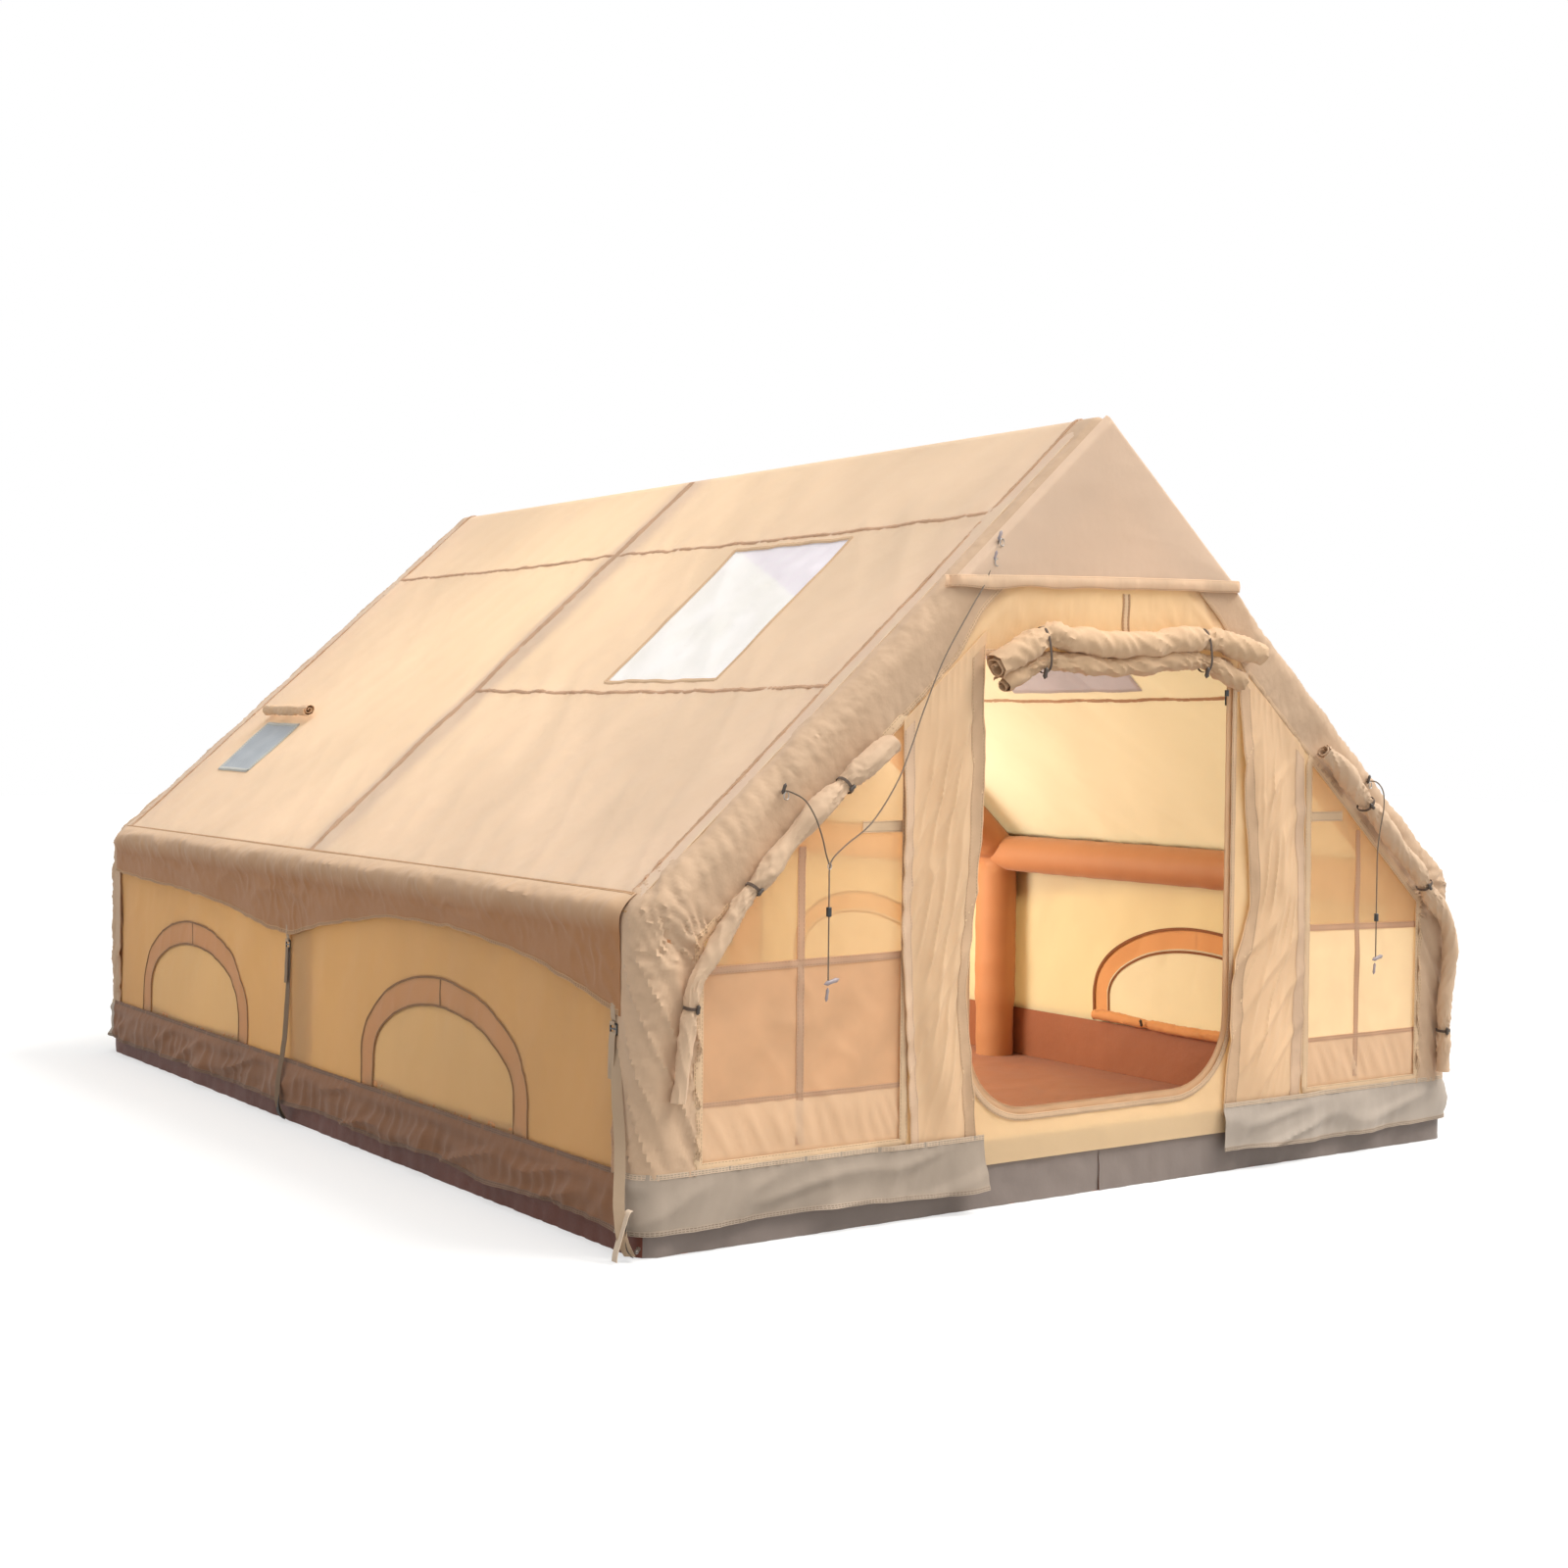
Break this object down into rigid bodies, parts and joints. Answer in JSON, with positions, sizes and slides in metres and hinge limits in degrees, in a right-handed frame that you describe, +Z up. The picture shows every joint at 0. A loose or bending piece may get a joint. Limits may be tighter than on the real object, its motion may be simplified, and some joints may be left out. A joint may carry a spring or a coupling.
{
  "type": "inflatable tent",
  "caption": "House-shaped inflatable tent on air-filled arches, with a rolled-up door, mesh front windows, arched side windows, skylights and a stove patch.",
  "frame": {"origin": "centre of the floor, on the ground", "axes": "+Z up, +Y from the door to the rear wall, +X to the right seen from the door"},
  "size_m": [3.0456, 4.109, 2.17],
  "materials": {
    "roof_cloth": "coated polyester-cotton cloth, matt",
    "edge_cloth": "coated cloth, matt",
    "end_wall_cloth": "thin cloth that lets light through",
    "side_wall_cloth": "thin cloth that lets light through",
    "end_skirt_cloth": "coated cloth, creased",
    "side_skirt_cloth": "coated cloth, creased",
    "tub_cloth": "heavy waterproof cloth",
    "sleeve_cloth": "sewn sleeve cloth",
    "bladder_film": "airtight film",
    "insect_mesh": "fine mesh",
    "clear_pane": "clear film pane",
    "stove_patch": "heat-proof coated cloth",
    "webbing": "woven webbing",
    "guy_cord": "braided cord",
    "zip_tape": "woven tape with a coil zip",
    "black_plastic": "moulded, fine texture",
    "valve_plastic": "moulded, satin",
    "valve_rubber": "soft rubber"
  },
  "bodies": {
    "tent": {"door_zip_tape": "zip_tape", "frame_sleeve": "sleeve_cloth", "front_arch_bladder": "bladder_film", "front_band": "edge_cloth", "front_left_mesh": "insect_mesh", "front_left_skirt": "end_skirt_cloth", "front_right_mesh": "insect_mesh", "front_right_skirt": "end_skirt_cloth", "front_wall": "end_wall_cloth", "gable_flap": "roof_cloth", "groundsheet": "tub_cloth", "guy_branch_left": "guy_cord", "guy_line_left": "guy_cord", "guy_line_right": "guy_cord", "left_corner_strap": "webbing", "left_cover_roll": "roof_cloth", "left_door_flap": "end_wall_cloth", "left_front_eave_bladder": "bladder_film", "left_front_window": "side_wall_cloth", "left_mid_strap": "webbing", "left_rear_eave_bladder": "bladder_film", "left_rear_window": "side_wall_cloth", "left_skirt": "side_skirt_cloth", "left_skylight": "clear_pane", "left_valance": "edge_cloth", "left_wall": "side_wall_cloth", "mid_arch_bladder": "bladder_film", "rear_arch_bladder": "bladder_film", "rear_band": "edge_cloth", "rear_skirt": "end_skirt_cloth", "rear_wall": "end_wall_cloth", "right_corner_strap": "webbing", "right_cover_roll": "roof_cloth", "right_door_flap": "end_wall_cloth", "right_front_eave_bladder": "bladder_film", "right_front_window": "side_wall_cloth", "right_mid_strap": "webbing", "right_rear_eave_bladder": "bladder_film", "right_rear_window": "side_wall_cloth", "right_skirt": "side_skirt_cloth", "right_skylight": "clear_pane", "right_valance": "edge_cloth", "right_wall": "side_wall_cloth", "roof_left_slope": "roof_cloth", "roof_right_slope": "roof_cloth", "stove_flap_roll": "roof_cloth", "stove_jack": "stove_patch", "valve_body": "valve_plastic"},
    "door_rolls": {"door_roll": "roof_cloth", "door_screen_roll": "insect_mesh"},
    "zip_slider_left": {"door_zip_slider_left": "black_plastic"},
    "zip_slider_right": {"door_zip_slider_right": "black_plastic"},
    "valve_cap": {"valve_cap": "valve_plastic"},
    "valve_poppet": {"valve_poppet": "valve_rubber"},
    "runner_left": {"guy_runner_left": "black_plastic"},
    "runner_right": {"guy_runner_right": "black_plastic"},
    "left_corner_buckle": {"left_corner_buckle": "black_plastic"},
    "left_mid_buckle": {"left_mid_buckle": "black_plastic"},
    "right_corner_buckle": {"right_corner_buckle": "black_plastic"},
    "right_mid_buckle": {"right_mid_buckle": "black_plastic"}
  },
  "joints": [
    {"name": "door_roll_swing", "type": "hinge", "parent": "tent", "child": "door_rolls", "pos_m": [0, -2, 1.6], "axis": [-1, 0, 0], "range_deg": [0, 60]},
    {"name": "zip_left_slide", "type": "slide", "parent": "tent", "child": "zip_slider_left", "axis": [0, 0, -1], "range_m": [0, 0.88]},
    {"name": "zip_right_slide", "type": "slide", "parent": "tent", "child": "zip_slider_right", "axis": [0, 0, -1], "range_m": [0, 0.88]},
    {"name": "left_corner_buckle_lift", "type": "hinge", "parent": "tent", "child": "left_corner_buckle", "pos_m": [-1.5045, -1.875, 0.561], "axis": [0, 1, 0], "range_deg": [0, 60], "deforming": ["left_corner_strap"]},
    {"name": "left_mid_buckle_lift", "type": "hinge", "parent": "tent", "child": "left_mid_buckle", "pos_m": [-1.5045, 0.19, 0.586], "axis": [0, 1, 0], "range_deg": [0, 60], "deforming": ["left_mid_strap"]},
    {"name": "right_corner_buckle_lift", "type": "hinge", "parent": "tent", "child": "right_corner_buckle", "pos_m": [1.5045, -1.875, 0.561], "axis": [0, -1, 0], "range_deg": [0, 60], "deforming": ["right_corner_strap"]},
    {"name": "right_mid_buckle_lift", "type": "hinge", "parent": "tent", "child": "right_mid_buckle", "pos_m": [1.5045, 0.19, 0.586], "axis": [0, -1, 0], "range_deg": [0, 60], "deforming": ["right_mid_strap"]},
    {"name": "valve_cap_turn", "type": "hinge", "parent": "tent", "child": "valve_cap", "pos_m": [1.335, 1.915, 0.3], "axis": [-1, 0, 0], "range_deg": [0, 90]},
    {"name": "valve_poppet_press", "type": "slide", "parent": "tent", "child": "valve_poppet", "axis": [1, 0, 0], "range_m": [0, 0.004], "stiffness_N_per_m": 400},
    {"name": "runner_left_slide", "type": "slide", "parent": "tent", "child": "runner_left", "axis": [0, 0, 1], "range_m": [-0.07, 0.05]},
    {"name": "runner_right_slide", "type": "slide", "parent": "tent", "child": "runner_right", "axis": [0, 0, 1], "range_m": [-0.07, 0.05]}
  ]
}
